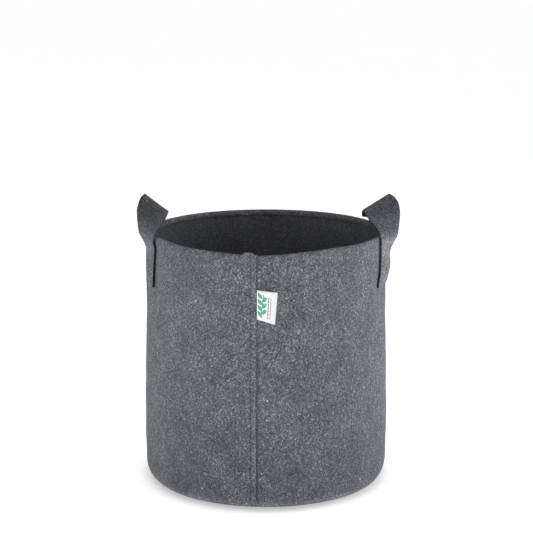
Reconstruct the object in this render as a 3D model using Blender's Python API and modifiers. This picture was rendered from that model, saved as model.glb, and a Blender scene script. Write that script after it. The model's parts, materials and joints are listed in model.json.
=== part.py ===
"""Fabric grow bag: a felt plant bag with a folded hem, a sewn-in base and two strap handles.

Blender 4.5, metres, +Z up. The bag stands on the ground, centred on the origin. Its side seam faces
-Y, and its handles are at -X (left) and +X (right). Each handle's loop is parented to an empty on
the line that it folds about, just above the rim, and the label to one on the seam that holds it.
"""

import math

import bmesh
import bpy
from mathutils import Vector

# Felt, thread and the small gaps that sewn pieces keep
FELT = 0.0024
THREAD = 0.0008
PLY_GAP = 0.0003

# Bag body
RIM_RADIUS = 0.145
BELLY = 0.0032  # how much wider the wall stands at its foot than at its rim
BAG_HEIGHT = 0.305
CORNER_RADIUS = 0.018
HEM_DEPTH = 0.009
HEM_GAP = 0.0006  # between the hem's two plies
SEAM_ALLOWANCE = 0.011  # felt turned in beyond a line of stitches
EDGE_TURN = 0.0018  # radius of the felt's middle where an edge turns up
BASE_THREAD_RISE = 0.0075

# Side seam and its label
SIDE_SEAM_OFFSET = -0.0150  # along the wall from the middle of the front, negative to the left
GROOVE_WIDTH = 0.001
GROOVE_DEPTH = 0.0012
TOPSTITCH_OFFSET = 0.0070
TOPSTITCH_END = math.radians(58)  # how far round the corner the row of stitches goes
LABEL_WIDTH = 0.024
LABEL_HEIGHT = 0.0345
LABEL_THICKNESS = 0.0006
LABEL_DROP = 0.042  # top of the label below the rim
LABEL_SAG = 0.003  # how far its outer edge hangs below its sewn edge
LABEL_STANDOFF = 0.0006

# Handles
STRAP_WIDTH = 0.036
STRAP_SPACING = 0.0855  # between the middles of one handle's two ends, along the wall
TAIL_LENGTH = 0.062
FOLD_RISE = 0.007  # the line that a loop folds about, above the rim
CREST_RISE = 0.0447  # highest edge of the loop above the rim
CREST_REACH = 0.0006  # the same edge, out from the rim
CREST_TILT = math.radians(37.8)
NEAR_EDGE_SWELL = (0.023, 0.0, 0.024)
NEAR_CREST_SWELL = (0.0, 0.013, 0.0)
FAR_EDGE_SWELL = (-0.004, -0.006, 0.008)
FAR_CREST_SWELL = (0.0, 0.022, 0.0)
TACK_INSET = 0.005  # box of stitches, in from the strap's edges
TACK_HEIGHT = 0.026

# How finely curved shapes are divided
ROUND_STEPS = 48
ARC_STEPS = 6
STRAP_STEPS = 4
LOOP_STEPS = 12

FRONT = -math.pi / 2
HANDLE_SIDES = {"left": math.pi, "right": 0.0}


def clear_scene():
    for item in list(bpy.data.objects):
        bpy.data.objects.remove(item, do_unlink=True)


def new_collection(name, helper=False):
    collection = bpy.data.collections.new(name)
    collection.hide_render = helper
    bpy.context.scene.collection.children.link(collection)
    return collection


def felt_material(name, color, roughness):
    material = bpy.data.materials.new(name)
    material.use_nodes = True
    shader = material.node_tree.nodes["Principled BSDF"]
    shader.inputs["Base Color"].default_value = (*color, 1.0)
    shader.inputs["Roughness"].default_value = roughness
    shader.inputs["Metallic"].default_value = 0.0
    return material


def place(name, data, collection, material=None, angle=0.0):
    item = bpy.data.objects.new(name, data)
    item.rotation_euler.z = angle
    if material:
        data.materials.append(material)
    collection.objects.link(item)
    return item


def wall_radius(z):
    """Radius of the wall's outer face at height z."""
    return RIM_RADIUS + BELLY * (1.0 - z / BAG_HEIGHT)


def along_wall(distance):
    """Angle about the bag's middle of a distance along the rim."""
    return distance / RIM_RADIUS


def arc(center, radius, start, end):
    """Points (r, z) on an arc, from one angle to the other."""
    steps = [start + (end - start) * i / ARC_STEPS for i in range(ARC_STEPS + 1)]
    return [(center[0] + radius * math.cos(a), center[1] + radius * math.sin(a)) for a in steps]


def corner_center():
    return wall_radius(CORNER_RADIUS) - CORNER_RADIUS, CORNER_RADIUS


def wall_outline(offset, corner_end=math.pi / 2, top=BAG_HEIGHT):
    """The wall's side and lower corner, moved out from its outer face by an offset."""
    corner = arc(corner_center(), CORNER_RADIUS + offset, 0.0, -corner_end)
    return [(wall_radius(top) + offset, top)] + corner


def profile_mesh(name, points):
    """A line of edges in the XZ plane, for a Screw modifier."""
    mesh = bpy.data.meshes.new(name)
    edges = [(i, i + 1) for i in range(len(points) - 1)]
    mesh.from_pydata([(r, 0.0, z) for r, z in points], edges, [])
    return mesh


def turned_sheet(item, thickness, sweep=2 * math.pi, steps=ROUND_STEPS):
    """Turns a profile about +Z and gives it a thickness, half to each side."""
    screw = item.modifiers.new("turn", "SCREW")
    screw.axis = "Z"
    screw.angle = sweep
    screw.steps = screw.render_steps = steps
    screw.use_merge_vertices = sweep == 2 * math.pi
    screw.merge_threshold = 0.0001
    thicken(item, thickness)


def thicken(item, thickness):
    solidify = item.modifiers.new("thickness", "SOLIDIFY")
    solidify.thickness = thickness
    solidify.offset = 0.0
    solidify.use_even_offset = True


def join_shapes(item, tool, operation):
    boolean = item.modifiers.new(tool.name, "BOOLEAN")
    boolean.operation = operation
    boolean.solver = "EXACT"
    boolean.object = tool
    tool.display_type = "WIRE"
    tool.hide_render = True


def thread_curve(name, points, collection, material, cyclic=False):
    """A thread with its middle on the points."""
    curve = bpy.data.curves.new(name, "CURVE")
    curve.dimensions = "3D"
    curve.bevel_depth = THREAD / 2
    curve.bevel_resolution = 0
    curve.use_fill_caps = not cyclic
    spline = curve.splines.new("POLY")
    spline.points.add(len(points) - 1)
    for point, place_at in zip(spline.points, points):
        point.co = (*place_at, 1.0)
    spline.use_cyclic_u = cyclic
    return place(name, curve, collection, material)


def on_wall(radius, angle, z):
    return radius * math.cos(angle), radius * math.sin(angle), z


def wall_section():
    """The middle of the wall's felt, from the hem's edge over the rim to the turned-in foot."""
    fold = (FELT + HEM_GAP) / 2
    fold_center = (RIM_RADIUS - FELT / 2 - fold, BAG_HEIGHT - FELT / 2 - fold)
    hem_edge = (fold_center[0] - fold, BAG_HEIGHT - HEM_DEPTH)
    foot_r, _ = corner_center()
    foot_turn = arc((foot_r, FELT / 2 + EDGE_TURN), EDGE_TURN, -math.pi / 2, -math.pi)
    corner = arc(corner_center(), CORNER_RADIUS - FELT / 2, 0.0, -math.pi / 2)
    foot_edge = (foot_r - EDGE_TURN, SEAM_ALLOWANCE)
    return [hem_edge, *arc(fold_center, fold, math.pi, 0.0), *corner[:-1], *foot_turn, foot_edge]


def base_edge_radius():
    """Radius of the middle of the base's turned-up edge, which lies inside the wall's."""
    return corner_center()[0] - EDGE_TURN - FELT - PLY_GAP


def base_section():
    """The middle of the base's felt, from its centre to its turned-up edge."""
    edge_r = base_edge_radius()
    turn = arc((edge_r - EDGE_TURN, FELT / 2 + EDGE_TURN), EDGE_TURN, -math.pi / 2, 0.0)
    return [(0.0, FELT / 2), *turn, (edge_r, SEAM_ALLOWANCE)]


def make_wall(parts, cutters, felt):
    """One length of felt: hemmed at the rim, turned in at the foot, its ends sewn together inside."""
    wall = place("wall_panel", profile_mesh("wall_panel", wall_section()), parts, felt)
    turned_sheet(wall, FELT)
    seam = FRONT + along_wall(SIDE_SEAM_OFFSET)

    plies = 2 * FELT
    sunk = FELT / 4  # how far the turned-in ends reach into the wall that they are part of
    inner = -FELT - plies / 2 + sunk
    top = BAG_HEIGHT - HEM_DEPTH - PLY_GAP
    ends = [(wall_radius(z) + inner, z) for z in (top, CORNER_RADIUS)]
    width = along_wall(SEAM_ALLOWANCE)
    allowance = place("seam_allowance", profile_mesh("seam_allowance", ends), cutters)
    allowance.rotation_euler.z = seam - width
    turned_sheet(allowance, plies, width, STRAP_STEPS)
    join_shapes(wall, allowance, "UNION")

    line = wall_outline(0.0, top=BAG_HEIGHT + FELT)
    width = along_wall(GROOVE_WIDTH)
    groove = place("seam_groove", profile_mesh("seam_groove", line), cutters)
    groove.rotation_euler.z = seam - width / 2
    turned_sheet(groove, 2 * GROOVE_DEPTH, width, 1)
    join_shapes(wall, groove, "DIFFERENCE")


def make_base(parts, felt):
    base = place("base_panel", profile_mesh("base_panel", base_section()), parts, felt)
    turned_sheet(base, FELT)


def make_long_threads(parts, thread):
    """The topstitching beside the side seam, and the hem's and the base's rings of stitches."""
    angle = FRONT + along_wall(SIDE_SEAM_OFFSET - TOPSTITCH_OFFSET)
    line = wall_outline(PLY_GAP + THREAD / 2, TOPSTITCH_END, BAG_HEIGHT - FELT)
    points = [on_wall(r, angle, z) for r, z in line]
    thread_curve("side_seam_thread", points, parts, thread)

    hem_r = RIM_RADIUS - 2 * FELT - HEM_GAP - PLY_GAP - THREAD / 2
    base_r = base_edge_radius() - FELT / 2 - PLY_GAP - THREAD / 2
    hem_z = BAG_HEIGHT - HEM_DEPTH * 0.75
    for name, radius, z in (
        ("hem_thread", hem_r, hem_z),
        ("base_seam_thread", base_r, BASE_THREAD_RISE),
    ):
        turns = [2 * math.pi * i / ROUND_STEPS for i in range(ROUND_STEPS)]
        thread_curve(name, [on_wall(radius, a, z) for a in turns], parts, thread, cyclic=True)


def tail_radius(z):
    """Radius of the middle of a strap that lies on the wall."""
    return wall_radius(z) + PLY_GAP + FELT / 2


def make_tail(name, middle, parts, felt):
    """The end of a strap, flat on the wall below the rim."""
    foot = BAG_HEIGHT - TAIL_LENGTH
    points = [(tail_radius(z), z) for z in (BAG_HEIGHT, foot)]
    width = along_wall(STRAP_WIDTH)
    tail = place(name, profile_mesh(name, points), parts, felt, middle - width / 2)
    turned_sheet(tail, FELT, width, STRAP_STEPS)


def make_tack(name, middle, parts, thread):
    """The box of stitches that holds a strap's end."""
    half = along_wall(STRAP_WIDTH / 2 - TACK_INSET)
    low = BAG_HEIGHT - TAIL_LENGTH + TACK_INSET
    clear = FELT / 2 + PLY_GAP + THREAD / 2
    across = [half * (2 * i / STRAP_STEPS - 1) for i in range(STRAP_STEPS + 1)]
    row = [(a, low) for a in across] + [(-a, low + TACK_HEIGHT) for a in across]
    points = [on_wall(tail_radius(z) + clear, middle + a, z) for a, z in row]
    thread_curve(name, points, parts, thread, cyclic=True)


def bezier(knots, t):
    weights = ((1 - t) ** 3, 3 * t * (1 - t) ** 2, 3 * t * t * (1 - t), t**3)
    return sum((w * k for w, k in zip(weights, knots)), Vector())


def strap_edges(hinge_r):
    """Bezier knots of the strap's near and far edges, from the fold line to the crest.

    They are about the loop's own origin: +X out of the bag, +Y along the fold line, +Z up.
    """
    radius = tail_radius(BAG_HEIGHT)
    middle = STRAP_SPACING / 2
    near_angle = along_wall(middle - STRAP_WIDTH / 2)
    far_angle = along_wall(middle + STRAP_WIDTH / 2)
    origin = Vector((hinge_r, 0.0, 0.0))
    near = Vector(on_wall(radius, near_angle, 0.0)) - origin
    far = Vector(on_wall(radius, far_angle, 0.0)) - origin
    crest = Vector((RIM_RADIUS + CREST_REACH - hinge_r, 0.0, CREST_RISE - FOLD_RISE))
    drop = STRAP_WIDTH * Vector((-math.cos(CREST_TILT), 0.0, -math.sin(CREST_TILT)))
    near_swell, near_crest = Vector(NEAR_EDGE_SWELL), Vector(NEAR_CREST_SWELL)
    far_swell, far_crest = Vector(FAR_EDGE_SWELL), Vector(FAR_CREST_SWELL)
    near_knots = (near, near + near_swell, crest + near_crest, crest)
    far_knots = (far, far + far_swell, crest + drop + far_crest, crest + drop)
    return near_knots, far_knots


def fold_radius():
    """Distance of a loop's fold line from the bag's middle: midway between its strap's edges."""
    radius = tail_radius(BAG_HEIGHT)
    half = STRAP_WIDTH / 2
    angles = [along_wall(STRAP_SPACING / 2 + side) for side in (-half, half)]
    return sum(radius * math.cos(a) for a in angles) / 2


def loop_mesh():
    """Half of a handle's loop, open at its crest: a strap that turns from upright to radial."""
    near_knots, far_knots = strap_edges(fold_radius())
    bm = bmesh.new()
    bmesh.ops.create_grid(bm, x_segments=2, y_segments=LOOP_STEPS, size=0.5)
    for vert in bm.verts:
        across, along = vert.co.x + 0.5, vert.co.y + 0.5
        vert.co = bezier(near_knots, along).lerp(bezier(far_knots, along), across)
    mesh = bpy.data.meshes.new("handle_loop")
    bm.to_mesh(mesh)
    bm.free()
    return mesh


def make_loop(side, middle, parts, felt):
    hinge = place(f"{side}_handle_hinge", None, parts, angle=middle)
    hinge.location = on_wall(fold_radius(), middle, BAG_HEIGHT + FOLD_RISE)
    loop = place(f"{side}_handle_loop", loop_mesh(), parts, felt)
    loop.parent = hinge
    mirror = loop.modifiers.new("other half", "MIRROR")
    mirror.use_axis = (False, True, False)
    mirror.merge_threshold = 0.0001
    thicken(loop, FELT)


def make_handle(side, middle, parts, felt, thread):
    """One strap: two ends sewn to the wall and the loop between them."""
    for turn in (-1, 1):
        angle = middle + turn * along_wall(STRAP_SPACING / 2)
        end = "front" if math.sin(angle) < 0 else "rear"
        make_tail(f"{side}_handle_{end}_end", angle, parts, felt)
        make_tack(f"{side}_handle_{end}_stitches", angle, parts, thread)
    make_loop(side, middle, parts, felt)


def make_label(parts, cloth):
    """A folded tag with one edge caught in the side seam, a little skewed by its own sag."""
    angle = FRONT + along_wall(SIDE_SEAM_OFFSET)
    top = BAG_HEIGHT - LABEL_DROP
    radius = wall_radius(top - LABEL_HEIGHT) + LABEL_STANDOFF + LABEL_THICKNESS / 2
    hinge = place("label_hinge", None, parts, angle=angle)
    hinge.location = on_wall(radius, angle, top)

    outline = (
        (0.0, 0.0),
        (0.0, -LABEL_HEIGHT),
        (LABEL_WIDTH - LABEL_SAG, -LABEL_HEIGHT - 1.5 * LABEL_SAG),
        (LABEL_WIDTH, -LABEL_SAG),
    )
    curve = bpy.data.curves.new("label", "CURVE")
    curve.dimensions = "2D"
    curve.fill_mode = "BOTH"
    curve.extrude = LABEL_THICKNESS / 2
    spline = curve.splines.new("POLY")
    spline.points.add(len(outline) - 1)
    for point, (x, y) in zip(spline.points, outline):
        point.co = (x, y, 0.0, 1.0)
    spline.use_cyclic_u = True
    label = place("label", curve, parts, cloth)
    label.parent = hinge
    label.rotation_euler = (math.pi / 2, 0.0, math.pi / 2)


def main():
    clear_scene()
    parts = new_collection("fabric_grow_bag")
    cutters = new_collection("seam_tools", helper=True)
    felt = felt_material("grey_felt", (0.138, 0.147, 0.165), 0.95)
    strap = felt_material("strap_felt", (0.120, 0.126, 0.141), 0.95)
    thread = felt_material("sewing_thread", (0.045, 0.047, 0.052), 0.6)
    cloth = felt_material("label_satin", (0.85, 0.86, 0.86), 0.5)
    make_wall(parts, cutters, felt)
    make_base(parts, felt)
    make_long_threads(parts, thread)
    for side, middle in HANDLE_SIDES.items():
        make_handle(side, middle, parts, strap, thread)
    make_label(parts, cloth)


main()
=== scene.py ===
"""Looks of the fabric grow bag: felt wall, base, straps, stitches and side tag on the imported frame."""

import json
import math

import bpy
import numpy as np
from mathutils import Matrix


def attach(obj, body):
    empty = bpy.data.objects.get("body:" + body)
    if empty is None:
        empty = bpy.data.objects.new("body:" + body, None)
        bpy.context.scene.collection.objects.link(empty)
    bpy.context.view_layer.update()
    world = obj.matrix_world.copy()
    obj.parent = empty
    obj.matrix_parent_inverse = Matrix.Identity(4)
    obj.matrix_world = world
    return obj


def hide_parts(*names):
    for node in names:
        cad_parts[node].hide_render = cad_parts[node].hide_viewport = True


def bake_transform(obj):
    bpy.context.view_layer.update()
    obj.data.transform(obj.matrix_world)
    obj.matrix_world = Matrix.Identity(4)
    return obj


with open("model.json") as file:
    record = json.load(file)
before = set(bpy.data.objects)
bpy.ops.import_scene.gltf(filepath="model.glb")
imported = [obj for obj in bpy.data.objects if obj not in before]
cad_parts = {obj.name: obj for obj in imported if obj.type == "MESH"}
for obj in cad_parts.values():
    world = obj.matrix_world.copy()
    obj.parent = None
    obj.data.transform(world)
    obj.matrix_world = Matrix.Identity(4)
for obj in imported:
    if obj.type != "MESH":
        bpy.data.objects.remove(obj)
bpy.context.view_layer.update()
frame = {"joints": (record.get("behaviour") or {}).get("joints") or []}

# Felt and thread
FELT = 0.0024
THREAD = 0.0009
STITCH = 0.0034
STITCH_GAP = 0.0012
STITCH_PITCH = STITCH + STITCH_GAP
THREAD_OFF = 0.0001

# Bag body, which the frame's own pieces follow
RIM_RADIUS = 0.145
BELLY = 0.0032
BAG_HEIGHT = 0.305
CORNER_RADIUS = 0.018
HEM_DEPTH = 0.0068
HEM_STITCH_DROP = 0.0052
HEM_GAP = 0.0006
BASE_STITCH_HEIGHT = 0.0075
SEAM_ALLOWANCE = 0.011
EDGE_TURN = 0.0018
BASE_EDGE_RADIUS = 0.1255

# Front seam, at its distance along the rim from the middle of the front
SEAM = -0.0150
TOPSTITCH = -0.022
FRONT = -math.pi / 2

# Handle straps: flat size, distance between an end's middle and its twin's, and how far a strap's
# middle lies off the wall's true round
STRAP_WIDTH = 0.036
STRAP_LENGTH = 0.262
STRAP_SPACING = 0.0855
STRAP_OFF = 0.0015
STRAP_ROWS = 76
STRAP_COLUMNS = 11
SEWN_ROWS = 32

# Distances below and above a handle's joint
BEND_BELOW = 0.007
BEND_ABOVE = 0.011

# Box of stitches on a strap's end: shares of its width, and heights from the rim
TACK_NEAR, TACK_FAR = 0.15, 0.85
TACK_LOW, TACK_HIGH = -0.0545, -0.0285

# Side tag: its size, its round, how thick a ply is, and how its lines of points are laid
TAG_WIDTH = 0.0234
TAG_HEIGHT = 0.0340
TAG_RADIUS = 0.1465 + 0.0002
TAG_OFF = 0.0006
TAG_HALF = 0.00028
TAG_COLUMNS, TAG_ROWS = 13, 17

# The rim's rises and droops: degrees round from the front, how wide, and how high
RIM_SWAYS = (
    (-8.0, 19.0, -0.0029),
    (-4.0, 3.0, -0.0006),
    (-62.0, 13.0, 0.0032),
    (6.5, 5.0, -0.0008),
    (34.0, 10.0, 0.0010),
    (62.0, 14.0, 0.0014),
)

# Lump of the seam's plies under the hem: where it starts and ends along the rim, each with its slope
LUMP_START = (-0.0320, -0.0298)
LUMP_END = (-0.0212, -0.0192)

CAMERA_AT = (-0.0609, -1.885, 0.6576)
CAMERA_LENS = 106.95
CAMERA_PITCH = math.radians(11.93)
CAMERA_TURN = math.radians(-1.85)
LIGHT_AIM = (0.0, 0.0, 0.15)


# ---------------------------------------------------------------- shader tools


class Wire:
    """A value in a material. Arithmetic on it adds the nodes that do the sum."""

    def __init__(self, finish, socket):
        self.finish = finish
        self.socket = socket

    def sum(self, operation, first, second):
        return self.finish.node("ShaderNodeMath", {"operation": operation}, {0: first, 1: second})

    def __add__(self, other):
        return self.sum("ADD", self, other)

    def __radd__(self, other):
        return self.sum("ADD", other, self)

    def __sub__(self, other):
        return self.sum("SUBTRACT", self, other)

    def __rsub__(self, other):
        return self.sum("SUBTRACT", other, self)

    def __mul__(self, other):
        return self.sum("MULTIPLY", self, other)

    def __rmul__(self, other):
        return self.sum("MULTIPLY", other, self)

    def __pow__(self, other):
        return self.sum("POWER", self, other)

    def __rpow__(self, other):
        return self.sum("POWER", other, self)

    def __abs__(self):
        return self.finish.node("ShaderNodeMath", {"operation": "ABSOLUTE"}, {0: self})


class Finish:
    """One material and the nodes in it."""

    def __init__(self, name):
        self.material = bpy.data.materials.new(name)
        self.material.use_nodes = True
        self.tree = self.material.node_tree
        self.shader = self.tree.nodes["Principled BSDF"]

    def node(self, kind, settings=None, values=None, output=0):
        item = self.tree.nodes.new(kind)
        for name, setting in (settings or {}).items():
            setattr(item, name, setting)
        for name, value in (values or {}).items():
            self.feed(item.inputs[name], value)
        return Wire(self, item.outputs[output])

    def feed(self, socket, value):
        if isinstance(value, Wire):
            self.tree.links.new(value.socket, socket)
        else:
            socket.default_value = value

    def surface(self, **values):
        for name, value in values.items():
            self.feed(self.shader.inputs[name.replace("_", " ")], value)

    def place(self, stretch=(1.0, 1.0, 1.0), turn=(0.0, 0.0, 0.0), shift=(0.0, 0.0, 0.0)):
        """Where the cloth's point lay before it was bent, turned and then stretched for a pattern."""
        at = self.node("ShaderNodeAttribute", {"attribute_name": "cloth"}, output=1)
        if any(turn):
            at = self.node("ShaderNodeMapping", {"vector_type": "POINT"}, {"Vector": at, "Rotation": turn})
        values = {"Vector": at, "Scale": stretch, "Location": shift}
        return self.node("ShaderNodeMapping", {"vector_type": "POINT"}, values)

    def noise(self, at, scale, detail=2.0, roughness=0.5, distortion=0.0):
        values = {
            "Vector": at,
            "Scale": scale,
            "Detail": detail,
            "Roughness": roughness,
            "Distortion": distortion,
        }
        return self.node("ShaderNodeTexNoise", {}, values)

    def ease(self, value, low, high, start=0.0, end=1.0):
        values = {"Value": value, "From Min": low, "From Max": high, "To Min": start, "To Max": end}
        return self.node("ShaderNodeMapRange", {"interpolation_type": "SMOOTHSTEP"}, values)

    def mix(self, share, first, second, blend="MIX"):
        settings = {"data_type": "RGBA", "blend_type": blend, "clamp_factor": True}
        return self.node("ShaderNodeMix", settings, {0: share, 6: first, 7: second}, output=2)

    def tint(self, amount, color):
        """A color made brighter or darker by an amount that varies over the cloth."""
        grey = self.node("ShaderNodeCombineColor", {}, {0: amount, 1: amount, 2: amount})
        return self.mix(1.0, grey, color, "MULTIPLY")

    def bump(self, height, depth):
        return self.node("ShaderNodeBump", {}, {"Height": height, "Distance": depth})

    def sine(self, value):
        return self.node("ShaderNodeMath", {"operation": "SINE"}, {0: value})

    def crease(self):
        """The painted shade on the cloth at each point, darker above 0; below 0 it is painted light."""
        return self.node("ShaderNodeAttribute", {"attribute_name": "crease"}, output=2)


# ---------------------------------------------------------------- finishes


# How each layer of fibres is turned, and how close its fibres lie (per metre)
FINE_FIBRES = (
    ((0.0, 0.5, 0.2), (260.0, 1100.0, 1100.0)),
    ((0.7, 0.0, 0.1), (1000.0, 260.0, 1000.0)),
    ((0.3, -0.8, 0.4), (300.0, 1000.0, 1000.0)),
)
LOOSE_FIBRES = (
    ((0.0, 0.6, 0.1), (170.0, 680.0, 680.0)),
    ((0.0, -0.9, -0.1), (190.0, 640.0, 640.0)),
    ((0.7, 0.1, 0.0), (640.0, 170.0, 640.0)),
    ((-0.8, -0.1, 0.0), (680.0, 190.0, 680.0)),
)


def fibres(finish, layers, width):
    """Curled fibres that lie in the felt, each 0 beside it and 1 on it."""
    total = None
    for i, (turn, stretch) in enumerate(layers):
        at = finish.place(stretch, turn, (3.1 * i, 1.7 * i, 0.9 * i))
        crossing = abs(finish.noise(at, 1.0, 1.0, 0.4, 0.5) - 0.5)
        line = finish.ease(crossing, 0.0, width, 1.0, 0.0)
        total = line if total is None else total + line
    return total


def tufts(finish, layers):
    """Short bundles of paler fibres that run across one another."""
    total = None
    for i, (turn, stretch) in enumerate(layers):
        at = finish.place(stretch, turn, (2.3 * i, 4.1 * i, 1.3 * i))
        bundle = finish.ease(finish.noise(at, 1.0, 1.0, 0.5, 0.35), 0.46, 0.70)
        total = bundle if total is None else total + bundle
    return total


def felt_finish(name, color, light, contrast, bump, sheen, streaks):
    """Needle-punched felt: matted fibres, small clumps, pale flecks and a slow mottle."""
    finish = Finish(name)
    fine = fibres(finish, FINE_FIBRES, 0.06)
    loose = tufts(finish, LOOSE_FIBRES)
    clumps = finish.noise(finish.place(), 740.0, 2.0, 0.6, 0.5)
    wads = finish.noise(finish.place(shift=(0.3, 0.1, 0.7)), 190.0, 3.0, 0.6, 0.4)
    mottle = finish.noise(finish.place(shift=(0.9, 0.4, 0.2)), 36.0, 2.0, 0.5)
    specks = finish.noise(finish.place(shift=(0.5, 0.8, 0.1)), 820.0, 1.0, 0.5)
    speck = finish.ease(specks, 0.64, 0.74)
    crease = finish.crease()

    power = 4.1 * (clumps - 0.5) + 1.1 * (wads - 0.5) + 0.9 * (mottle - 0.5)
    power = power + 0.50 * loose + 0.44 * fine - 0.81
    if streaks:
        at = finish.place((150.0, 520.0, 300.0), (0.0, 0.0, 0.7))
        drawn = finish.noise(at, 1.0, 3.0, 0.6, 0.4)
        power = power + streaks * (drawn - 0.5)
    # Painted shade and light from the mesh: the felt is darker where the value is above 0 and paler where
    # it is below 0.
    amount = (2.718 ** (contrast * power)) * (1.0 - 0.72 * crease)
    base = finish.tint(amount, (*color, 1.0))
    base = finish.mix(speck * (0.1 * contrast), base, (*light, 1.0))

    height = fine * 0.4 + loose * 0.5 + clumps * 1.4 + wads * 0.8
    finish.surface(Base_Color=base, Roughness=0.9 + 0.1 * clumps, Normal=finish.bump(height, bump))
    finish.surface(Specular_IOR_Level=0.15, Sheen_Weight=sheen, Sheen_Roughness=0.55)
    finish.surface(Sheen_Tint=(0.86, 0.88, 0.95, 1.0))
    return finish.material


# Each felt's name, its colour, its flecks' colour, contrast, bump depth, sheen and streaks
FELT_FINISHES = (
    ("grey_felt", (0.146, 0.153, 0.178), (0.44, 0.45, 0.49), 1.0, 0.0004, 0.22, 0.0),
    ("charcoal_felt", (0.094, 0.098, 0.110), (0.20, 0.205, 0.22), 0.5, 0.0003, 0.05, 0.0),
    ("hem_felt", (0.125, 0.130, 0.144), (0.3, 0.31, 0.34), 0.8, 0.0003, 0.1, 0.0),
    ("strap_felt", (0.150, 0.156, 0.178), (0.42, 0.43, 0.47), 1.0, 0.0004, 0.22, 3.2),
    ("strap_lining", (0.055, 0.058, 0.066), (0.12, 0.125, 0.14), 0.8, 0.0003, 0.05, 0.0),
)


def edge_finish(name, color):
    """The cut side of the felt, dark between its layers."""
    finish = Finish(name)
    layers = finish.noise(finish.place(), 900.0, 3.0, 0.7, 0.5)
    crease = finish.crease()
    # Painted shade from the mesh, deepest as a painted shadow along each strap's far edge where it lies on
    # the wall.
    base = finish.tint((0.55 + 0.9 * layers) * (1.0 - 0.9 * crease), (*color, 1.0))
    finish.surface(Base_Color=base, Roughness=0.97, Normal=finish.bump(layers, 0.0004))
    finish.surface(Specular_IOR_Level=0.1)
    return finish.material


def thread_finish():
    """Dark polyester sewing thread, with its twist."""
    finish = Finish("sewing_thread")
    at = finish.place((1.0, 1.0, 1.0), (0.0, 0.0, 0.6))
    twist = finish.node("ShaderNodeTexWave", {"wave_type": "BANDS"}, {"Vector": at, "Scale": 420.0})
    wear = finish.noise(finish.place(), 300.0, 2.0)
    base = finish.tint(0.7 + 0.5 * wear + 0.25 * twist, (0.038, 0.040, 0.045, 1.0))
    finish.surface(Base_Color=base, Roughness=0.55 + 0.2 * wear, Normal=finish.bump(twist, 0.0001))
    finish.surface(Specular_IOR_Level=0.35, Sheen_Weight=0.1)
    return finish.material


def tag_finish():
    """White woven satin with a printed sprig and broken lines, placed by the tag's own UVs."""
    finish = Finish("label_satin")
    uv = finish.node("ShaderNodeUVMap", {"uv_map": "print"})
    across = finish.node("ShaderNodeSeparateXYZ", {}, {0: uv})
    down = Wire(finish, across.socket.node.outputs[1])
    weave = finish.sine(across * 900.0) * finish.sine(down * 1300.0)
    wear = finish.noise(finish.place(), 240.0, 3.0, 0.6)
    base = finish.tint(0.97 + 0.04 * weave + 0.08 * (wear - 0.5), (0.99, 0.99, 0.99, 1.0))
    for shape, color in tag_print(finish, across, down, wear):
        base = finish.mix(shape, base, (*color, 1.0))
    finish.surface(Base_Color=base, Roughness=0.5 + 0.15 * wear)
    finish.surface(Normal=finish.bump(weave + 0.5 * wear, 0.00006), Specular_IOR_Level=0.4)
    finish.surface(Sheen_Weight=0.4)
    return finish.material


def bar(finish, across, down, box):
    """A printed bar, 1 inside the box and 0 outside it, with soft edges."""
    left, right, low, high = box
    inside = None
    for way, start, stop, soft in ((across, left, right, 0.008), (down, low, high, 0.006)):
        half = (stop - start) / 2
        near = finish.ease(abs(way - (start + stop) / 2), half - soft, half + soft, 1.0, 0.0)
        inside = near if inside is None else inside * near
    return inside


def leaf(finish, across, down, middle, size, lean):
    """A printed leaf: the overlap of two round shapes."""
    x = (across - middle[0]) * (0.7 / size)
    y = (down - middle[1]) * (1.0 / size)
    turned_x = x * math.cos(lean) + y * math.sin(lean)
    turned_y = y * math.cos(lean) - x * math.sin(lean)
    shape = None
    for side in (-0.62, 0.62):
        away = ((turned_x - side) ** 2.0 + turned_y ** 2.0) ** 0.5
        inside = finish.ease(away, 0.96, 1.06, 1.0, 0.0)
        shape = inside if shape is None else shape * inside
    vein = finish.ease(abs(turned_x), 0.0, 0.04, 0.4, 1.0)
    return shape * vein


# The sprig's leaves, their sizes as shares of the tag
LEAVES = 7
LEAF_SIZE = 0.15
LEAF_LEAN = 0.7
LEAF_PITCH = 0.102

# Two broken lines: left, right, top, bottom as shares of the tag, and how often they break
PRINTED_LINES = ((0.56, 0.61, 0.2, 0.88, 61.0), (0.685, 0.72, 0.2, 0.86, 83.0))


def tag_print(finish, across, down, wear):
    """The printed shapes on the tag, with their colors: a sprig of leaves and two broken lines."""
    green = (0.02, 0.40, 0.25)
    grey = (0.13, 0.14, 0.15)
    worn = finish.ease(wear, 0.2, 0.45, 0.55, 1.0)
    stem_bend = 0.04 * finish.sine(down * 6.0)
    stem = finish.ease(abs(across - 0.28 - stem_bend), 0.014, 0.03, 1.0, 0.0)
    stem = stem * bar(finish, across, down, (0.1, 0.5, 0.12, 0.9))
    yield stem * worn, green
    for i in range(LEAVES):
        side = 1 if i % 2 else -1
        middle = (0.27 + 0.11 * side, 0.18 + LEAF_PITCH * i)
        yield leaf(finish, across, down, middle, LEAF_SIZE, LEAF_LEAN * side) * worn, green
    for left, right, low, high, often in PRINTED_LINES:
        dashes = finish.ease(finish.sine(down * often), -0.7, -0.3, 0.35, 1.0)
        yield bar(finish, across, down, (left, right, low, high)) * dashes * worn, grey


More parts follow.
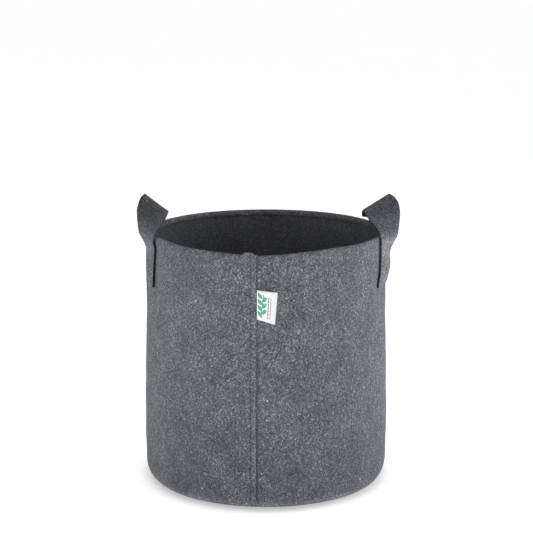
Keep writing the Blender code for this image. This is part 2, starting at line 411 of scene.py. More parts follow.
def floor_finish():
    """A plain pale studio floor that glows: a faint change of tone, and a painted soft shadow where
    something stands, where the glow is dimmed.
    """
    finish = Finish("studio_floor")
    tone = finish.noise(finish.node("ShaderNodeTexCoord", {}, output=3), 0.8, 2.0)
    base = finish.tint(0.985 + 0.02 * tone, (0.82, 0.82, 0.82, 1.0))
    finish.surface(Base_Color=base, Roughness=0.9, Specular_IOR_Level=0.0)
    reach = {"Distance": 0.025}
    open_sky = finish.node("ShaderNodeAmbientOcclusion", {"samples": 16}, reach, output=1)
    # Painted shadow: the floor's glow is dimmed where nearby things hide the sky.
    glow = finish.tint(finish.ease(open_sky, 0.25, 0.85, 0.46, 1.0), (1.0, 1.0, 1.0, 1.0))
    finish.surface(Emission_Color=glow, Emission_Strength=0.74)
    return finish.material


# ---------------------------------------------------------------- mesh tools


def joint_place(name):
    """A point on a joint's line, as the frame gives it."""
    return next(joint["pos_m"] for joint in frame["joints"] if joint["name"] == name)


def make_piece(name, points, faces, materials, face_slots=None, cloth=None, crease=None, smooth=True):
    """A mesh object whose points remember where they lay before the cloth was bent."""
    mesh = bpy.data.meshes.new(name)
    mesh.from_pydata(np.asarray(points, float).tolist(), [], [tuple(face) for face in faces])
    for material in materials:
        mesh.materials.append(material)
    if face_slots is not None:
        mesh.polygons.foreach_set("material_index", np.asarray(face_slots, np.int32))
    mesh.polygons.foreach_set("use_smooth", [smooth] * len(mesh.polygons))
    rest = np.asarray(points if cloth is None else cloth, np.float32)
    layer = mesh.attributes.new("cloth", "FLOAT_VECTOR", "POINT")
    layer.data.foreach_set("vector", rest.ravel())
    # Painted shade and light of each point, which its finish uses to darken or pale the colour.
    if crease is not None:
        layer = mesh.attributes.new("crease", "FLOAT", "POINT")
        layer.data.foreach_set("value", np.asarray(crease, np.float32).ravel())
    mesh.update()
    piece = bpy.data.objects.new(name, mesh)
    bpy.context.scene.collection.objects.link(piece)
    return piece


def ring_faces(rows, columns, closed_rows=True, closed_columns=True):
    """Quads of a grid of points, row by row, closed either way."""
    faces = []
    for i in range(rows if closed_rows else rows - 1):
        for j in range(columns if closed_columns else columns - 1):
            a = i * columns + j
            b = i * columns + (j + 1) % columns
            c = ((i + 1) % rows) * columns + (j + 1) % columns
            d = ((i + 1) % rows) * columns + j
            faces.append((a, b, c, d))
    return faces


def smooth_line(points, per_span):
    """A smooth line through the points (Catmull-Rom)."""
    points = np.asarray(points, float)
    padded = np.vstack([2 * points[0] - points[1], points, 2 * points[-1] - points[-2]])
    line = []
    for i in range(1, len(padded) - 2):
        before, start, end, after = padded[i - 1 : i + 3]
        t = np.linspace(0.0, 1.0, per_span, endpoint=False)[:, None]
        bend = 2 * before - 5 * start + 4 * end - after
        turn = 3 * start - before - 3 * end + after
        line.append(0.5 * (2 * start + (end - before) * t + bend * t**2 + turn * t**3))
    line.append(points[-1:])
    return np.vstack(line)


def spaced(line, count):
    """The same line with its points evenly apart."""
    steps = np.linalg.norm(np.diff(line, axis=0), axis=1)
    along = np.concatenate([[0.0], np.cumsum(steps)])
    wanted = np.linspace(0.0, along[-1], count)
    return np.stack([np.interp(wanted, along, line[:, k]) for k in range(line.shape[1])], axis=1)


def turn_from(angle, middle):
    """How far an angle is from another, the short way round."""
    return (angle - middle + math.pi) % (2 * math.pi) - math.pi


def unit(vectors):
    """The same directions, each one long."""
    return vectors / np.maximum(np.linalg.norm(vectors, axis=-1, keepdims=True), 1e-12)


def soft_step(value, low, high):
    """0 below low and 1 above high, with a smooth slope between."""
    t = np.clip((value - low) / (high - low), 0.0, 1.0)
    return t * t * (3 - 2 * t)


def hill(value, middle, spread):
    """1 at the middle, falling smoothly to 0 on either side."""
    return np.exp(-(((value - middle) / spread) ** 2))


def waves(seed, count, low, high):
    """Fixed made-up waves: how often each goes round and up, and where it starts."""
    chance = np.random.RandomState(seed)
    around = chance.randint(low, high, count)
    upward = chance.uniform(low / 2, high / 2, count)
    starts = chance.uniform(0, 2 * math.pi, (count, 2))
    return around, upward, starts


def wobble(angle, height, seed, count=9, low=2, high=9):
    """A slow uneven swell over the wall, about -1 to 1."""
    around, upward, starts = waves(seed, count, low, high)
    total = np.zeros(np.broadcast(angle, height).shape)
    for m, n, (a, b) in zip(around, upward, starts):
        total += np.sin(m * angle + a) * np.sin(n * math.pi * height / BAG_HEIGHT + b)
    return total / math.sqrt(count)


def wall_radius(z):
    """The wall's true round at a height, on its outer face."""
    return RIM_RADIUS + BELLY * (1.0 - z / BAG_HEIGHT)


# ---------------------------------------------------------------- wall and base


def arc_line(middle, radius, start, end, count):
    """Points along an arc."""
    angles = np.linspace(start, end, count)
    return np.stack([middle[0] + radius * np.cos(angles), middle[1] + radius * np.sin(angles)], 1)


def wall_midline():
    """The middle of the wall's felt as (r, z): hem edge, rim, side, corner, turned-in foot."""
    fold = (FELT + HEM_GAP) / 2
    fold_r = RIM_RADIUS - FELT / 2 - fold
    fold_z = BAG_HEIGHT - FELT / 2 - fold
    corner = (wall_radius(CORNER_RADIUS) - CORNER_RADIUS, CORNER_RADIUS)
    hem = np.array([(fold_r - fold, BAG_HEIGHT - HEM_DEPTH), (fold_r - fold, fold_z - 0.001)])
    rim = arc_line((fold_r, fold_z), fold, math.pi, 0.0, 9)
    side_ends = (fold_z - 0.002, CORNER_RADIUS + 0.002)
    side = np.array([(wall_radius(z) - FELT / 2, z) for z in side_ends])
    foot = arc_line(corner, CORNER_RADIUS - FELT / 2, 0.0, -math.pi / 2, 14)
    turn = arc_line((corner[0], FELT / 2 + EDGE_TURN), EDGE_TURN, -math.pi / 2, -math.pi, 6)
    edge = np.array([(corner[0] - EDGE_TURN, SEAM_ALLOWANCE)])
    return [hem, rim, side, foot, turn[1:], edge]


def fill_line(parts, step):
    """The parts joined into one line, with points added where they are far apart."""
    line = np.vstack(parts)
    filled = [line[:1]]
    for start, end in zip(line[:-1], line[1:]):
        count = max(1, int(round(np.linalg.norm(end - start) / step)))
        filled.append(start + (end - start) * np.linspace(0, 1, count + 1)[1:, None])
    return np.vstack(filled)


def line_normals(line):
    """Unit normals of an (r, z) line, to its left."""
    ahead = unit(np.gradient(line, axis=0))
    return np.stack([-ahead[:, 1], ahead[:, 0]], axis=1)


def closed_section(line, thickness):
    """The outline of a sheet around its middle line, with rounded cut edges."""
    normals = line_normals(line)
    half = thickness / 2
    first = line + normals * half
    second = line - normals * half
    start_cap = line[0] - unit(line[1] - line[0]) * half * 0.6
    end_cap = line[-1] + unit(line[-1] - line[-2]) * half * 0.6
    outline = np.vstack([first, end_cap[None], second[::-1], start_cap[None]])
    sides = np.array([1] * len(first) + [0] + [-1] * len(second) + [0])
    return outline, sides


def wall_angles():
    """Angles of the wall's columns, closer together at the front seam."""
    seam = FRONT + SEAM / RIM_RADIUS
    near = seam + np.arange(-0.0185, 0.0125, 0.0005) / RIM_RADIUS
    far = np.linspace(near[-1], near[0] + 2 * math.pi, 372)[1:-1]
    return np.concatenate([near, far])


def along_front(angle):
    """Distance along the rim from the middle of the front, positive to the right."""
    return turn_from(angle, FRONT) * RIM_RADIUS


def seam_relief(along, z):
    """How far the front seam lifts and sinks the wall's outer face."""
    plies = soft_step(along, SEAM - 0.0110, SEAM - 0.0080) * 0.0005
    pillow = soft_step(along, TOPSTITCH, TOPSTITCH + 0.0030) * 0.0008
    lift = (plies + pillow) * (1.0 - soft_step(along, SEAM - 0.0012, SEAM - 0.0001))
    pitch = 0.7 + 0.3 * np.cos(2 * math.pi * z / STITCH_PITCH)
    tuck = -0.0009 * hill(along, TOPSTITCH, 0.0010) * pitch
    groove = -0.0009 * hill(along, SEAM, 0.0005)
    ease_right = 0.00035 * hill(along, SEAM + 0.0032, 0.0022)
    return lift + tuck + groove + ease_right


def seam_pull(z):
    """How tight the front seam is at each height: slack in its middle, tight at its foot."""
    return 0.45 + 0.55 * (1.0 - soft_step(z, 0.10, 0.16)) + 0.25 * soft_step(z, 0.235, 0.265)


def seam_painted_shade(along, z):
    """Painted shade in the seam's groove and along its topstitch, stronger where the seam is tight; on the
    raised ridge beside the seam the value is below 0, a painted highlight.
    """
    pitch = 0.6 + 0.4 * np.cos(2 * math.pi * z / STITCH_PITCH)
    pull = seam_pull(z)
    stitched = 0.85 * hill(along, TOPSTITCH, 0.0008) * pitch * (pull - 0.28)
    sewn = 0.92 * hill(along, SEAM, 0.0006) * pull
    beside = 0.20 * hill(along, SEAM + 0.0022, 0.0020) * (pull - 0.3)
    raised = 0.32 * hill(along, SEAM - 0.0026, 0.0018)
    return stitched + sewn + beside - raised


def rim_bump(along):
    """The bulk of the seam's plies where the hem folds over them."""
    bulk = soft_step(along, *LUMP_START) * (1.0 - soft_step(along, *LUMP_END))
    shoulder = soft_step(along, *LUMP_END) * (1.0 - soft_step(along, SEAM - 0.0018, SEAM))
    return 0.0030 * bulk + 0.0010 * shoulder


def rim_sway(angle):
    """How far the soft rim rises or droops, round the bag."""
    turn = np.degrees(turn_from(angle, FRONT))
    total = 0.0 * turn
    for middle, spread, rise in RIM_SWAYS:
        total = total + rise * hill(turn, middle, spread)
    return total


def side_swell(z):
    """How the standing wall bows out below its middle, draws in above it and rounds off lower down."""
    bowed = 0.0011 * hill(z, 0.080, 0.060)
    drawn = 0.0011 * hill(z, 0.215, 0.040)
    return (bowed - drawn) * soft_step(z, 0.0, 0.02) - 0.0003 * hill(z, 0.036, 0.011)


def foot_shape(angle, z):
    """How the filled-out foot spreads between front and sides, and draws in at the sides."""
    turn = np.degrees(turn_from(angle, FRONT))
    level = hill(z, 0.004, 0.010)
    spread = -0.0002 * level
    for middle in (-132.0, -48.0, 48.0, 132.0):
        spread = spread + 0.0016 * hill(turn, middle, 22.0) * level
    drawn = 0.0006 * hill(turn, -90.0, 30.0) + 0.0015 * hill(turn, 90.0, 30.0)
    return spread - drawn * hill(z, 0.012, 0.009)


def tail_press(rise, side):
    """How far a sewn strap end is drawn into the soft wall, by its height below the rim."""
    if side == "left":
        return -0.0019 * soft_step(-rise, 0.002, 0.014)
    return -0.0018 * soft_step(-rise, 0.040, 0.056)


def strap_cover(angle, z, side):
    """1 where a strap's end lies on the wall, which is smooth and pressed in there."""
    middle = math.pi if side == "left" else 0.0
    turn = np.abs(turn_from(angle, middle)) * RIM_RADIUS
    band = np.abs(turn - STRAP_SPACING / 2)
    over = 1.0 - soft_step(band, STRAP_WIDTH / 2 + 0.003, STRAP_WIDTH / 2 + 0.014)
    return over * soft_step(z, 0.228, 0.243)


def slit_painted_shade(angle, z):
    """Painted shadow: the wall's dark line beside each strap's far edge, where the gap under the strap
    lies in shade.
    """
    total = 0.0 * (angle + z)
    rise = z - BAG_HEIGHT
    below = soft_step(rise, -0.059, -0.052)
    beside = 0.0012
    for side, facing in (("left", -1), ("left", 1), ("right", -1), ("right", 1)):
        tail = RIGHT_TAIL_FAR if (side, facing) == ("right", -1) else TAIL_FAR
        heights = [point[1] / 1000 for point in tail]
        forward = np.interp(rise, heights, [point[0] / 1000 for point in tail])
        middle = math.pi if side == "left" else 0.0
        away = np.arcsin((forward + beside) / RIM_RADIUS)
        edge = middle + (away if (side == "left") == (facing < 0) else -away)
        gap = turn_from(angle, edge) * RIM_RADIUS
        total = total + 0.65 * hill(gap, 0.0, 0.0013) * below
    return np.clip(total, 0.0, 1.0)


def wall_drift(angle, height):
    """How far the soft wall stands in or out of its true round, through its whole thickness."""
    standing = soft_step(height, 0.0005, 0.03)
    covers = {side: strap_cover(angle, height, side) for side in ("left", "right")}
    free = 1.0 - np.maximum(covers["left"], covers["right"])
    swell = 0.0004 * wobble(angle, height, 3) + 0.00022 * wobble(angle, height, 8, 14, 8, 30)
    rise = height - BAG_HEIGHT
    pressed = sum(np.minimum(tail_press(rise, side), 0) * covers[side] for side in covers)
    drift = np.maximum(swell, -0.0006) * standing * free + pressed
    return drift + side_swell(height) + foot_shape(angle, height) + 0.0002


def painted_wall_shade(along, height):
    """Painted shade on the wall: darker near its foot and on either side of its front, and a little paler
    higher up.
    """
    turn = np.abs(np.degrees(along / RIM_RADIUS))
    return 0.34 - 0.42 * soft_step(height, 0.0, 0.15) + 0.15 * hill(turn, 42.0, 22.0)


def wall_points(outline, sides, angles):
    """The wall's points: the section turned about +Z, with the felt's own unevenness."""
    radius = outline[:, 0][:, None]
    height = outline[:, 1][:, None]
    angle = angles[None, :]
    along = along_front(angle)
    outer = soft_step(radius, wall_radius(height) - 0.0032, wall_radius(height) - 0.0015)
    faced = (sides[:, None] >= 0) * outer
    relief = seam_relief(along, height) * faced * soft_step(height, 0.0, 0.004)
    moved = radius + relief + wall_drift(angle, height)
    top = soft_step(height, BAG_HEIGHT - 0.006, BAG_HEIGHT - 0.0005)
    sway = soft_step(height, BAG_HEIGHT - 0.07, BAG_HEIGHT - HEM_DEPTH) * rim_sway(angle)
    tall = height + top * rim_bump(along) + sway
    points = np.stack([moved * np.cos(angle), moved * np.sin(angle), tall], axis=-1)
    # Painted shade and light on the wall: the seam, the slits beside the straps, and the foot and sides of
    # the front.
    crease = seam_painted_shade(along, height) + slit_painted_shade(angle, height) + painted_wall_shade(along, height)
    return points.reshape(-1, 3), (crease * faced).reshape(-1)


def wall_slots(outline, sides, hem_points):
    """The finish of each band of the wall: 0 outer face, 1 inner face, 2 cut edge, 3 hem ply."""
    slots = []
    for i in range(len(outline)):
        j = (i + 1) % len(outline)
        if sides[i] == 0 or sides[j] == 0:
            slots.append(2)
        elif sides[i] < 0 or sides[j] < 0:
            slots.append(1)
        else:
            slots.append(3 if i < hem_points else 0)
    return slots


def make_wall(felt, inside, edge, hem):
    """The wall: one closed sheet of felt from its hem down to its turned-in foot."""
    line = fill_line(wall_midline(), 0.0034)
    outline, sides = closed_section(line, FELT)
    angles = wall_angles()
    points, crease = wall_points(outline, sides, angles)
    faces = ring_faces(len(outline), len(angles))
    hem_points = int(np.argmax(line[:, 1]))
    slots = np.repeat(wall_slots(outline, sides, hem_points), len(angles))
    wall = make_piece("felt_wall", points, faces, (felt, inside, edge, hem), slots, crease=crease)
    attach(wall, "bag")
    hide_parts("wall_panel")


def make_base(felt, inside, edge):
    """The base: a round of felt, swelling a little on top, with its edge turned up."""
    turn_middle = (BASE_EDGE_RADIUS - EDGE_TURN, FELT / 2 + EDGE_TURN)
    edge_turn = arc_line(turn_middle, EDGE_TURN, -math.pi / 2, 0.0, 6)
    parts = [np.array([(0.004, FELT / 2)]), edge_turn, np.array([(BASE_EDGE_RADIUS, SEAM_ALLOWANCE)])]
    outline, sides = closed_section(fill_line(parts, 0.006), FELT)
    outline, sides = outline[:-1], sides[:-1]
    angles = np.linspace(0, 2 * math.pi, 128, endpoint=False)
    radius = outline[:, 0][:, None]
    height = outline[:, 1][:, None]
    inner = soft_step(BASE_EDGE_RADIUS - 0.006 - radius, 0.0, 0.03)
    top = (height > FELT / 2).astype(float)
    swell = 0.0004 * np.maximum(wobble(angles[None, :], radius * 3.0, 5), 0.0) * inner * top
    pts = np.stack([radius * np.cos(angles), radius * np.sin(angles), height + swell], axis=-1)
    faces = ring_faces(len(outline), len(angles), closed_rows=False)
    slots = []
    for i in range(len(outline) - 1):
        upper = sides[i] > 0 and sides[i + 1] > 0
        slots += [1 if upper else 0] * len(angles)
    last = (len(outline) - 1) * len(angles)
    faces += [tuple(range(len(angles)))[::-1], tuple(last + j for j in range(len(angles)))]
    slots += [1, 0]
    base = make_piece("felt_base", pts.reshape(-1, 3), faces, (felt, inside, edge), slots)
    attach(base, "bag")
    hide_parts("base_panel")


# ---------------------------------------------------------------- straps


def on_wall(across, rise, side):
    """Distance out, along a handle's own line, of a strap's middle where it lies on the wall."""
    radius = wall_radius(BAG_HEIGHT + rise) + STRAP_OFF + tail_press(rise, side)
    return math.sqrt(radius * radius - across * across)


# A strap's edges above the wall, in millimetres: out from the bag's middle, forward, above the rim
LEFT_NEAR = (
    (151.0, 26, 1.4), (152.8, 25, 10), (154.0, 22, 20), (154.2, 16.5, 29.6),
    (150.9, 9.5, 38), (147.7, 4.2, 42.1), (146.3, 0, 43.9),
)
LEFT_FAR = (
    (131, 60, 6), (127, 50, 11.5), (124, 40, 14.8),
    (121.5, 28, 17.8), (119.2, 13, 20.8), (118.2, 0, 21.95),
)
RIGHT_NEAR = (
    (156.0, 27, -2.2), (158.0, 24.5, 8), (160.4, 15, 22.7),
    (158.3, 9, 34.6), (152.6, 4, 40.4), (149.1, 0, 42.2),
)
RIGHT_FAR = (
    (131, 60, 6), (127, 50, 11.5), (124, 40, 14.8),
    (121.5, 28, 17.8), (119.0, 13, 21.3), (117.6, 0, 22.5),
)
RIGHT_FAR_REAR = (
    (131, 60, 4), (124, 44, 8), (119.8, 28, 11),
    (118.0, 15, 15), (117.3, 6, 19.3), (117.6, 0, 22.5),
)
# A strap's edges on the wall, in millimetres: forward, above the rim, lifted off the wall
TAIL_NEAR = ((21.7, -59, 0), (23, -40, 0), (24.3, -20, 0), (25, -10, 2.2))
TAIL_FAR = ((53.6, -59, 0), (55.8, -40, 0), (58.6, -20, 0.2), (61.9, -3, 0.4))
RIGHT_TAIL_NEAR = (
    (29.5, -59, 0.6), (28.5, -46, 2.7), (27.5, -37, 3.4),
    (27, -26, 2.5), (26.5, -17, 4.7), (26.5, -8, 9.2),
)
RIGHT_TAIL_FAR = ((64.0, -59, 0), (63.0, -40, 0), (61.5, -20, 0.2), (62.3, -3, 0.4))
RIGHT_REAR_NEAR = ((21.7, -59, 0), (23, -40, 0), (27, -26, 2.5), (26.5, -17, 4.7), (26.5, -8, 9.2))

# Painted shade on each strap where it lies on the wall, just above the rim, and at its crest; below 0,
# painted light
STRAP_PAINTED_SHADES = {"left": (-0.06, 0.46, 0.84), "right": (-0.46, 0.62, 0.54)}


def rail(tail, free, side):
    """Half of a strap's edge, from its sewn end up to its crest."""
    points = []
    for forward, rise, lift in tail:
        out = on_wall(forward / 1000, rise / 1000, side) + lift / 1000
        points.append((out, forward / 1000, rise / 1000))
    return points + [tuple(value / 1000 for value in point) for point in free]


def strap_rails(side):
    """The strap's near and far edges, each as its front half and its rear half."""
    if side == "left":
        near = rail(TAIL_NEAR, LEFT_NEAR, side)
        far = rail(TAIL_FAR, LEFT_FAR, side)
        return (near, near), (far, far)
    near = rail(RIGHT_TAIL_NEAR, RIGHT_NEAR, side)
    far = rail(RIGHT_TAIL_FAR, RIGHT_FAR, side)
    rear_near = rail(RIGHT_REAR_NEAR, RIGHT_NEAR, side)
    return (near, rear_near), (far, rail(TAIL_FAR, RIGHT_FAR_REAR, side))


def whole_rail(front, rear, count):
    """A rail from the front end over the crest to the rear end, each half evenly spaced."""
    front = spaced(smooth_line(front, 10), count)
    rear = spaced(smooth_line(rear, 10), count)[::-1][1:]
    return np.vstack([front, rear * np.array([1.0, -1.0, 1.0])])


def strap_surface(side):
    """The middle of a strap as rows of points across it, which lie on the wall below the rim."""
    near_halves, far_halves = strap_rails(side)
    near = whole_rail(*near_halves, STRAP_ROWS)
    far = whole_rail(*far_halves, STRAP_ROWS)
    share = np.linspace(0.0, 1.0, STRAP_COLUMNS)[None, :, None]
    grid = near[:, None, :] * (1 - share) + far[:, None, :] * share
    rise = grid[:, :, 2]
    on_bag = 1.0 - soft_step(rise, -0.012, 0.006)
    radius = wall_radius(BAG_HEIGHT + rise) + STRAP_OFF + tail_press(rise, side)
    wrapped = np.sqrt(np.maximum(radius**2 - grid[:, :, 1] ** 2, 0.0))
    lean = near[:, None, 0] - np.sqrt(radius[:, :1] ** 2 - near[:, None, 1] ** 2)
    wrapped = wrapped + lean * (1 - share[:, :, 0])
    grid[:, :, 0] = grid[:, :, 0] * (1 - on_bag) + wrapped * on_bag
    return grid


def grid_normals(grid):
    """The way out of a strap at each point of its grid."""
    along = np.gradient(grid, axis=0)
    across = np.gradient(grid, axis=1)
    return unit(np.cross(across, along))


def strap_painted_shade(rings, columns, side):
    """Painted shade and light on a strap: its crest darker and its sewn ends paler as the light falls, and
    a painted shadow along its far edge where it lies on the wall.
    """
    rise = rings[:, :, 2] - BAG_HEIGHT
    below = 1.0 - soft_step(rise, -0.006, 0.004)
    pale, middle, dark = STRAP_PAINTED_SHADES[side]
    shade = pale + (middle - pale) * soft_step(rise, -0.010, 0.008)
    shade = shade + (dark - middle) * soft_step(rise, 0.008, 0.028)
    edge_shadow = np.zeros(rings.shape[1])
    edge_shadow[columns - 1 : columns + 2] = (0.7, 1.0, 1.0)
    return np.clip(shade + 1.3 * below * edge_shadow[None, :], -0.6, 1.0)


def strap_cloth(rows, columns):
    """Where each point of a strap's rings lies on the strap laid flat: along, across and through it."""
    along = np.linspace(0.0, STRAP_LENGTH, rows)
    across = np.linspace(0.0, STRAP_WIDTH, columns)
    round_it = np.concatenate([across, [STRAP_WIDTH + 0.001], across[::-1], [-0.001]])
    through = np.array([0.0] * columns + [FELT / 2] + [FELT] * columns + [FELT / 2])
    flat = np.zeros((rows, len(round_it), 3))
    flat[:, :, 0] = along[:, None]
    flat[:, :, 1] = round_it[None, :]
    flat[:, :, 2] = through[None, :]
    return flat.reshape(-1, 3)


def strap_section(grid, thickness):
    """Rings of points round a strap, and the face that each belongs to: 0 outer, 1 inner, 2 cut edge."""
    normals = grid_normals(grid)
    across = unit(grid[:, -1] - grid[:, 0])
    half = thickness / 2
    outer = grid + normals * half
    inner = (grid - normals * half)[:, ::-1]
    far_edge = grid[:, -1] + across * half * 0.45
    near_edge = grid[:, 0] - across * half * 0.45
    rings = np.concatenate([outer, far_edge[:, None], inner, near_edge[:, None]], axis=1)
    columns = grid.shape[1]
    kinds = [0] * (columns - 1) + [2, 2] + [1] * (columns - 1) + [2, 2]
    return rings, kinds


def strap_middle(side):
    """The middle of a strap, placed on the bag, its rows running so that it faces outwards."""
    sign = -1.0 if side == "left" else 1.0
    grid = strap_surface(side) * np.array([sign, -1.0, 1.0]) + np.array([0.0, 0.0, BAG_HEIGHT])
    return grid[::-1] if sign > 0 else grid


def make_strap(side, felt, inside, edge):
    """A strap: two ends sewn to the wall and the loop between them."""
    grid = strap_middle(side)
    rings, kinds = strap_section(grid, FELT)
    rows, columns = rings.shape[:2]
    faces = ring_faces(rows, columns, closed_rows=False)
    slots = kinds * (rows - 1)
    faces += [tuple(range(columns))[::-1], tuple((rows - 1) * columns + j for j in range(columns))]
    slots += [2, 2]
    crease = strap_painted_shade(rings, grid.shape[1], side)
    cloth = strap_cloth(rows, grid.shape[1])
    points = rings.reshape(-1, 3)
    strap = make_piece(f"{side}_strap", points, faces, (felt, inside, edge), slots, cloth, crease)
    nodes = [f"{side}_handle_{part}" for part in ("loop", "front_end", "rear_end")]
    x, y, z = joint_place(f"{side}_handle_fold")
    start, end = (x, y, z - BEND_BELOW), (x, y, z + BEND_ABOVE)
    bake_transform(strap)
    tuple(start)
    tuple(end)
    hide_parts(*nodes)


# ---------------------------------------------------------------- stitches


def stitch_shape(length, width, sides=6, rings=5):
    """One stitch lying along +X, its ends going down into the felt."""
    points = []
    for i in range(rings):
        t = i / (rings - 1)
        x = (t - 0.5) * length
        fat = width / 2 * math.sqrt(max(1.0 - (2 * t - 1) ** 4, 0.04))
        sink = -width * 0.9 * abs(2 * t - 1) ** 3
        for j in range(sides):
            angle = 2 * math.pi * j / sides
            points.append((x, fat * math.cos(angle), fat * math.sin(angle) + sink))
    faces = ring_faces(rings, sides, closed_rows=False)
    faces += [tuple(range(sides))[::-1], tuple((rings - 1) * sides + j for j in range(sides))]
    return np.array(points), faces


def make_stitches(name, places, thread, node):
    """A row of stitches: each place is its middle, its direction and the way out of the felt."""
    shape, shape_faces = stitch_shape(STITCH, THREAD)
    points, faces = [], []
    for k, (middle, ahead, out) in enumerate(places):
        ahead = unit(np.asarray(ahead, float))
        out = unit(np.asarray(out, float) - ahead * np.dot(out, ahead))
        side = np.cross(out, ahead)
        skew = 0.06 * math.sin(5.1 * k)
        turned = unit(ahead + side * skew)
        points.append(np.asarray(middle) + shape @ np.stack([turned, np.cross(out, turned), out]))
        faces += [tuple(i + k * len(shape) for i in face) for face in shape_faces]
    row = make_piece(name, np.vstack(points), faces, (thread,))
    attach(row, "bag")
    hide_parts(node)


def stitch_places(line, out):
    """Places of stitches set evenly along a line of points with outward directions."""
    steps = np.linalg.norm(np.diff(line, axis=0), axis=1)
    along = np.concatenate([[0.0], np.cumsum(steps)])
    wanted = np.arange(STITCH_PITCH / 2, along[-1], STITCH_PITCH)
    at = np.stack([np.interp(wanted, along, line[:, k]) for k in range(3)], axis=1)
    way = np.stack([np.interp(wanted, along, out[:, k]) for k in range(3)], axis=1)
    ahead = np.stack([np.interp(wanted, along, np.gradient(line[:, k])) for k in range(3)], axis=1)
    return list(zip(at, ahead, way))


def make_topstitch(thread):
    """The row beside the front seam, from the rim down and round the corner."""
    angle = FRONT + TOPSTITCH / RIM_RADIUS
    corner = (wall_radius(CORNER_RADIUS) - CORNER_RADIUS, CORNER_RADIUS)
    heights = np.linspace(BAG_HEIGHT - 0.003, CORNER_RADIUS + 0.002, 60)
    side = np.array([(wall_radius(z), z) for z in heights])
    bend = arc_line(corner, CORNER_RADIUS, 0.0, -math.radians(58), 12)
    line = np.vstack([side, bend])
    ways = np.array([(1.0, 0.0)] * len(side) + [tuple(unit(p - np.array(corner))) for p in bend])
    line = line - THREAD_OFF * ways
    line[:, 0] += wall_drift(angle, line[:, 1])
    spin = np.array([math.cos(angle), math.sin(angle)])
    points = np.column_stack([line[:, 0] * spin[0], line[:, 0] * spin[1], line[:, 1]])
    outs = np.column_stack([ways[:, 0] * spin[0], ways[:, 0] * spin[1], ways[:, 1]])
    make_stitches("topstitch_row", stitch_places(points, outs), thread, "side_seam_thread")


def make_ring(name, radius, z, thread, node, sway=0.0):
    """A ring of stitches on an inward-facing wall of felt."""
    count = 241
    turns = np.linspace(0, 2 * math.pi, count)
    rise = z + sway * rim_sway(turns)
    points = np.column_stack([radius * np.cos(turns), radius * np.sin(turns), rise])
    outs = np.column_stack([-np.cos(turns), -np.sin(turns), np.zeros(count)])
    make_stitches(name, stitch_places(points, outs), thread, node)


def on_strap(side, end, shares, rises):
    """Points on a strap's outer face and the ways out of it, by share across and rise from the rim."""
    grid = strap_middle(side)
    outs = grid_normals(grid)
    face = np.concatenate([grid + outs * (FELT / 2 + THREAD_OFF), outs], axis=2)
    if (side == "left") != (end == "front"):
        face = face[::-1]
    sewn = face[:SEWN_ROWS]
    places = []
    for share, rise in zip(shares, rises):
        column = share * (STRAP_COLUMNS - 1)
        near = int(column)
        line = sewn[:, near] * (near + 1 - column) + sewn[:, near + 1] * (column - near)
        places.append([np.interp(BAG_HEIGHT + rise, line[:, 2], line[:, k]) for k in range(6)])
    places = np.array(places)
    return places[:, :3], places[:, 3:]


def make_tacks(side, end, thread):
    """The crossed box of stitches on a strap's end."""
    low_near, low_far = (TACK_NEAR, TACK_LOW), (TACK_FAR, TACK_LOW)
    high_near, high_far = (TACK_NEAR, TACK_HIGH), (TACK_FAR, TACK_HIGH)
    box = [low_near, low_far, high_far, high_near, low_near, high_far]
    places = []
    for start, stop in list(zip(box[:-1], box[1:])) + [(low_far, high_near)]:
        shares = np.linspace(start[0], stop[0], 12)
        rises = np.linspace(start[1], stop[1], 12)
        places += stitch_places(*on_strap(side, end, shares, rises))
    make_stitches(f"{side}_{end}_tack", places, thread, f"{side}_handle_{end}_stitches")


# ---------------------------------------------------------------- side tag


def tag_plies():
    """The points of the tag's two plies, which part a little at the free corner, and their UVs."""
    top = joint_place("label_swing")[2]
    across = np.linspace(0.0, 1.0, TAG_COLUMNS)[None, :]
    down = np.linspace(0.0, 1.0, TAG_ROWS)[:, None]
    x = TAG_WIDTH * across - 0.0031 * across * down
    z = -TAG_HEIGHT * down - (0.0030 + 0.0029 * down) * across
    lift = 0.0002 + 0.0016 * across**2 * (0.25 + 0.75 * down**2) + 0.0003 * np.sin(5 * across + 3 * down)
    angle = FRONT + (SEAM + x) / TAG_RADIUS
    points = []
    for sign in (1.0, -1.0):
        r = TAG_RADIUS + TAG_OFF + (lift + sign * TAG_HALF)
        points.append(np.stack([r * np.cos(angle), r * np.sin(angle), top + z], axis=-1).reshape(-1, 3))
    uvs = np.stack(np.broadcast_arrays(across, down), axis=-1).reshape(-1, 2)
    return np.vstack(points), np.vstack([uvs, uvs])


def tag_faces():
    """The faces of both plies and the closed edge round them."""
    count = TAG_ROWS * TAG_COLUMNS
    ply = ring_faces(TAG_ROWS, TAG_COLUMNS, False, False)
    faces = ply + [tuple(i + count for i in face[::-1]) for face in ply]
    last = (TAG_ROWS - 1) * TAG_COLUMNS
    border = list(range(TAG_COLUMNS))
    border += [i * TAG_COLUMNS + TAG_COLUMNS - 1 for i in range(1, TAG_ROWS)]
    border += [last + j for j in range(TAG_COLUMNS - 2, -1, -1)]
    border += [i * TAG_COLUMNS for i in range(TAG_ROWS - 2, 0, -1)]
    for a, b in zip(border, border[1:] + border[:1]):
        faces.append((b, a, a + count, b + count))
    return faces


def make_tag(satin):
    """A folded satin tag with one edge in the front seam."""
    points, flat = tag_plies()
    cloth = np.column_stack([flat[:, 0] * TAG_WIDTH, flat[:, 1] * TAG_HEIGHT, np.zeros(len(flat))])
    tag = make_piece("side_tag", points, tag_faces(), (satin,), cloth=cloth)
    layer = tag.data.uv_layers.new(name="print")
    for loop in tag.data.loops:
        layer.data[loop.index].uv = flat[loop.vertex_index]
    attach(tag, "label")
    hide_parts("label")


# ---------------------------------------------------------------- studio


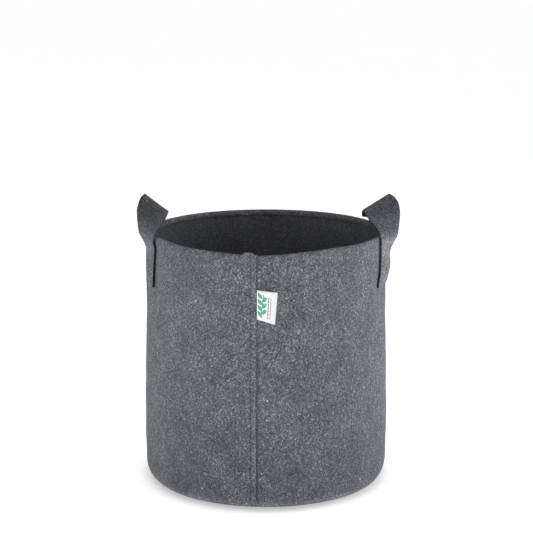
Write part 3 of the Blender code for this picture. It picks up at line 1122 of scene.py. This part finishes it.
def make_floor():
    """A wide flat floor, a hair below the bag."""
    size = 40.0
    corners = [(-size, -size, 0), (size, -size, 0), (size, size, 0), (-size, size, 0)]
    floor = make_piece("studio_floor", corners, [(0, 1, 2, 3)], (floor_finish(),), smooth=False)
    floor.location.z = -0.0002


def make_world():
    """An even pale surround that is dimmer overhead."""
    world = bpy.data.worlds.new("studio_surround")
    bpy.context.scene.world = world
    world.use_nodes = True
    tree = world.node_tree
    back = tree.nodes["Background"]
    way = tree.nodes.new("ShaderNodeTexCoord")
    split = tree.nodes.new("ShaderNodeSeparateXYZ")
    ramp = tree.nodes.new("ShaderNodeValToRGB")
    tree.links.new(way.outputs["Generated"], split.inputs[0])
    tree.links.new(split.outputs["Z"], ramp.inputs["Fac"])
    ramp.color_ramp.elements[0].position = 0.0
    ramp.color_ramp.elements[0].color = (1.0, 1.0, 1.0, 1.0)
    ramp.color_ramp.elements[1].position = 1.0
    ramp.color_ramp.elements[1].color = (0.05, 0.05, 0.055, 1.0)
    for at, level in ((0.25, 0.80), (0.5, 0.36)):
        stop = ramp.color_ramp.elements.new(at)
        stop.color = (level, level, level, 1.0)
    tree.links.new(ramp.outputs["Color"], back.inputs["Color"])
    back.inputs["Strength"].default_value = 1.0


def make_light(name, at, size, power):
    """A square soft light that faces the bag."""
    light = bpy.data.lights.new(name, "AREA")
    light.shape = "SQUARE"
    light.size = size
    light.energy = power
    item = bpy.data.objects.new(name, light)
    item.location = at
    item.rotation_euler = look_angles(np.array(LIGHT_AIM) - np.array(at))
    bpy.context.scene.collection.objects.link(item)


def make_inner_light():
    """A narrow soft light straight down into the bag, so that its base can be seen from above."""
    light = bpy.data.lights.new("inner_light", "SPOT")
    light.energy = 42.0
    light.spot_size = math.radians(11.0)
    light.spot_blend = 0.6
    light.shadow_soft_size = 0.08
    item = bpy.data.objects.new("inner_light", light)
    item.location = (0.0, 0.0, 1.6)
    bpy.context.scene.collection.objects.link(item)


def look_angles(way):
    """Angles that point a light along a direction."""
    flat = math.hypot(way[0], way[1])
    return (math.pi / 2 + math.atan2(way[2], flat), 0.0, math.atan2(way[1], way[0]) - math.pi / 2)


def make_camera():
    """The camera at the viewing angle of the front."""
    camera = bpy.data.cameras.new("studio_camera")
    camera.lens = CAMERA_LENS
    camera.sensor_width = 36.0
    camera.shift_x = 0.001
    camera.clip_end = 200.0
    item = bpy.data.objects.new("studio_camera", camera)
    item.location = CAMERA_AT
    item.rotation_euler = (math.pi / 2 - CAMERA_PITCH, 0.0, CAMERA_TURN)
    bpy.context.scene.collection.objects.link(item)
    bpy.context.scene.camera = item


def main():
    """Every piece, the floor, the lights and the camera."""
    bpy.context.scene.view_settings.view_transform = "Standard"
    felt, inside, hem, strap, lining = [felt_finish(*row) for row in FELT_FINISHES]
    cut = edge_finish("cut_felt", (0.110, 0.115, 0.130))
    thread = thread_finish()
    make_wall(felt, inside, cut, hem)
    make_base(felt, inside, cut)
    for side in ("left", "right"):
        make_strap(side, strap, lining, cut)
        for end in ("front", "rear"):
            make_tacks(side, end, thread)
    make_topstitch(thread)
    hem_face = RIM_RADIUS - 2 * FELT - HEM_GAP + 0.0005
    make_ring("hem_stitches", hem_face, BAG_HEIGHT - HEM_STITCH_DROP, thread, "hem_thread", 1.0)
    base_face = BASE_EDGE_RADIUS - FELT / 2 - THREAD_OFF
    make_ring("base_stitches", base_face, BASE_STITCH_HEIGHT, thread, "base_seam_thread")
    make_tag(tag_finish())
    make_floor()
    make_world()
    make_light("right_softbox", (2.1, 0.6, 0.6), 1.3, 23.5)
    make_light("left_softbox", (-2.1, 0.3, 0.6), 1.3, 8.0)
    make_light("front_softbox", (0.3, -3.0, 0.9), 1.8, 16.5)
    make_inner_light()
    make_camera()


main()
